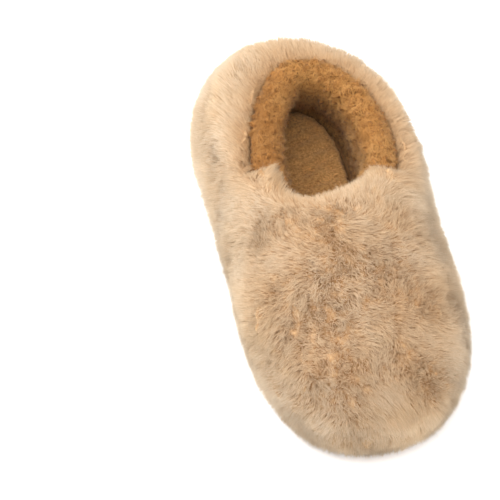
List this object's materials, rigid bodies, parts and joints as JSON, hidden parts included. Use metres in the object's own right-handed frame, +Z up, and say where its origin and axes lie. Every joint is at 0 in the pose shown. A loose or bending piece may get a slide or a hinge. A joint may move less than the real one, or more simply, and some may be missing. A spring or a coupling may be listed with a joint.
{
  "type": "slipper",
  "caption": "Sheepskin slip-on slipper for a left foot, long cream pile outside, tan shorn shearling lining turned over the collar, soft flat sole.",
  "frame": {"origin": "centre of the slipper's footprint box on the ground", "axes": "-Y towards the toe, +Y towards the heel, +X towards the outer (lateral) side, -X towards the inner (medial) side, +Z up"},
  "size_m": [0.1502, 0.3231, 0.0986],
  "materials": {
    "fur_cream": "long dense sheepskin pile, cream beige, matte",
    "hide_leather": "suede flesh side of the outer skins",
    "shearling_tan": "shorn curly sheepskin pile, orange tan, matte",
    "lining_leather": "suede flesh side of the lining skins",
    "thread_brown": "waxed polyester sewing thread",
    "board_brown": "pressed fibre board",
    "foam_pale": "soft closed-cell foam",
    "sole_brown": "matte dark brown flexible rubber",
    "tape_cotton": "woven cotton tape"
  },
  "bodies": {
    "root": {"vamp_fur": "fur_cream", "quarter_fur_inner": "fur_cream", "quarter_fur_outer": "fur_cream", "vamp_hide": "hide_leather", "quarter_hide_inner": "hide_leather", "quarter_hide_outer": "hide_leather", "vamp_lining_wool": "shearling_tan", "quarter_lining_wool_inner": "shearling_tan", "quarter_lining_wool_outer": "shearling_tan", "vamp_lining_hide": "lining_leather", "quarter_lining_hide_inner": "lining_leather", "quarter_lining_hide_outer": "lining_leather", "heel_counter": "board_brown", "collar_tape": "tape_cotton", "back_seam_tape": "tape_cotton", "vamp_thread_inner": "thread_brown", "vamp_thread_outer": "thread_brown", "back_thread": "thread_brown", "collar_thread": "thread_brown", "outsole": "sole_brown", "midsole": "foam_pale", "bottom_filler": "foam_pale", "insole_board": "board_brown", "footbed_hide": "lining_leather", "footbed_wool": "shearling_tan"}
  },
  "joints": []
}
